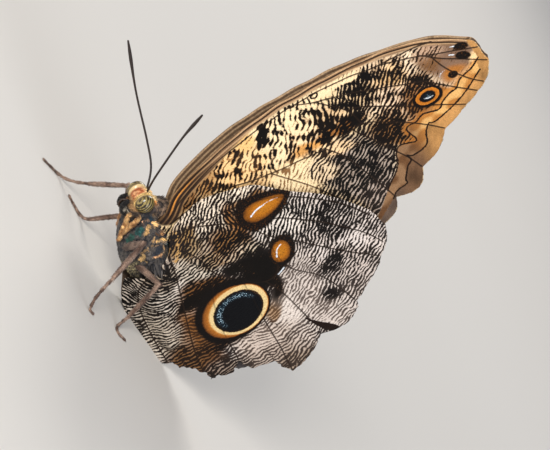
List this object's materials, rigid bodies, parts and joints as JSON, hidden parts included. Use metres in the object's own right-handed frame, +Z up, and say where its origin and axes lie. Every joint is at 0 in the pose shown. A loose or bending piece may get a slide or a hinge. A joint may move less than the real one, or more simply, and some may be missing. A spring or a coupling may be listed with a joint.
{
  "type": "owl butterfly",
  "caption": "Life-size still owl butterfly at rest, wings closed over its back, with veined wings, big false eyes, slender legs and long feelers",
  "frame": {"origin": "Bottom centre of the whole model's box, on the floor that its feet and the lower edges of its hindwings stand on.", "axes": "+Z up. The head points to -X and the wings' outer margins to +X. The animal's left side, which the picture shows, faces -Y."},
  "size_m": [0.0812, 0.0322, 0.0901],
  "materials": {
    "wing_scales": "dry scaled membrane, soft sheen",
    "body_hair": "short dense hair, matte",
    "foreleg_hair": "short dense hair, matte",
    "leg_cuticle": "scaled chitin, matte",
    "palp_cuticle": "dark scaled chitin, slight gloss",
    "proboscis_cuticle": "smooth chitin",
    "feeler_cuticle": "dark ringed chitin",
    "eye_cuticle": "glossy striped compound eye"
  },
  "bodies": {
    "root": {"abdomen": "body_hair", "antenna_left": "feeler_cuticle", "antenna_right": "feeler_cuticle", "eye_left": "eye_cuticle", "eye_right": "eye_cuticle", "foreleg_left": "foreleg_hair", "foreleg_right": "foreleg_hair", "forewing_left": "wing_scales", "forewing_right": "wing_scales", "head": "body_hair", "hindwing_left": "wing_scales", "hindwing_right": "wing_scales", "leg_hind_left_femur": "leg_cuticle", "leg_hind_left_tarsus": "leg_cuticle", "leg_hind_left_tibia": "leg_cuticle", "leg_hind_right_femur": "leg_cuticle", "leg_hind_right_tarsus": "leg_cuticle", "leg_hind_right_tibia": "leg_cuticle", "leg_mid_left_femur": "leg_cuticle", "leg_mid_left_tarsus": "leg_cuticle", "leg_mid_left_tibia": "leg_cuticle", "leg_mid_right_femur": "leg_cuticle", "leg_mid_right_tarsus": "leg_cuticle", "leg_mid_right_tibia": "leg_cuticle", "palp_left": "palp_cuticle", "palp_right": "palp_cuticle", "proboscis": "proboscis_cuticle", "thorax": "body_hair"}
  },
  "joints": []
}
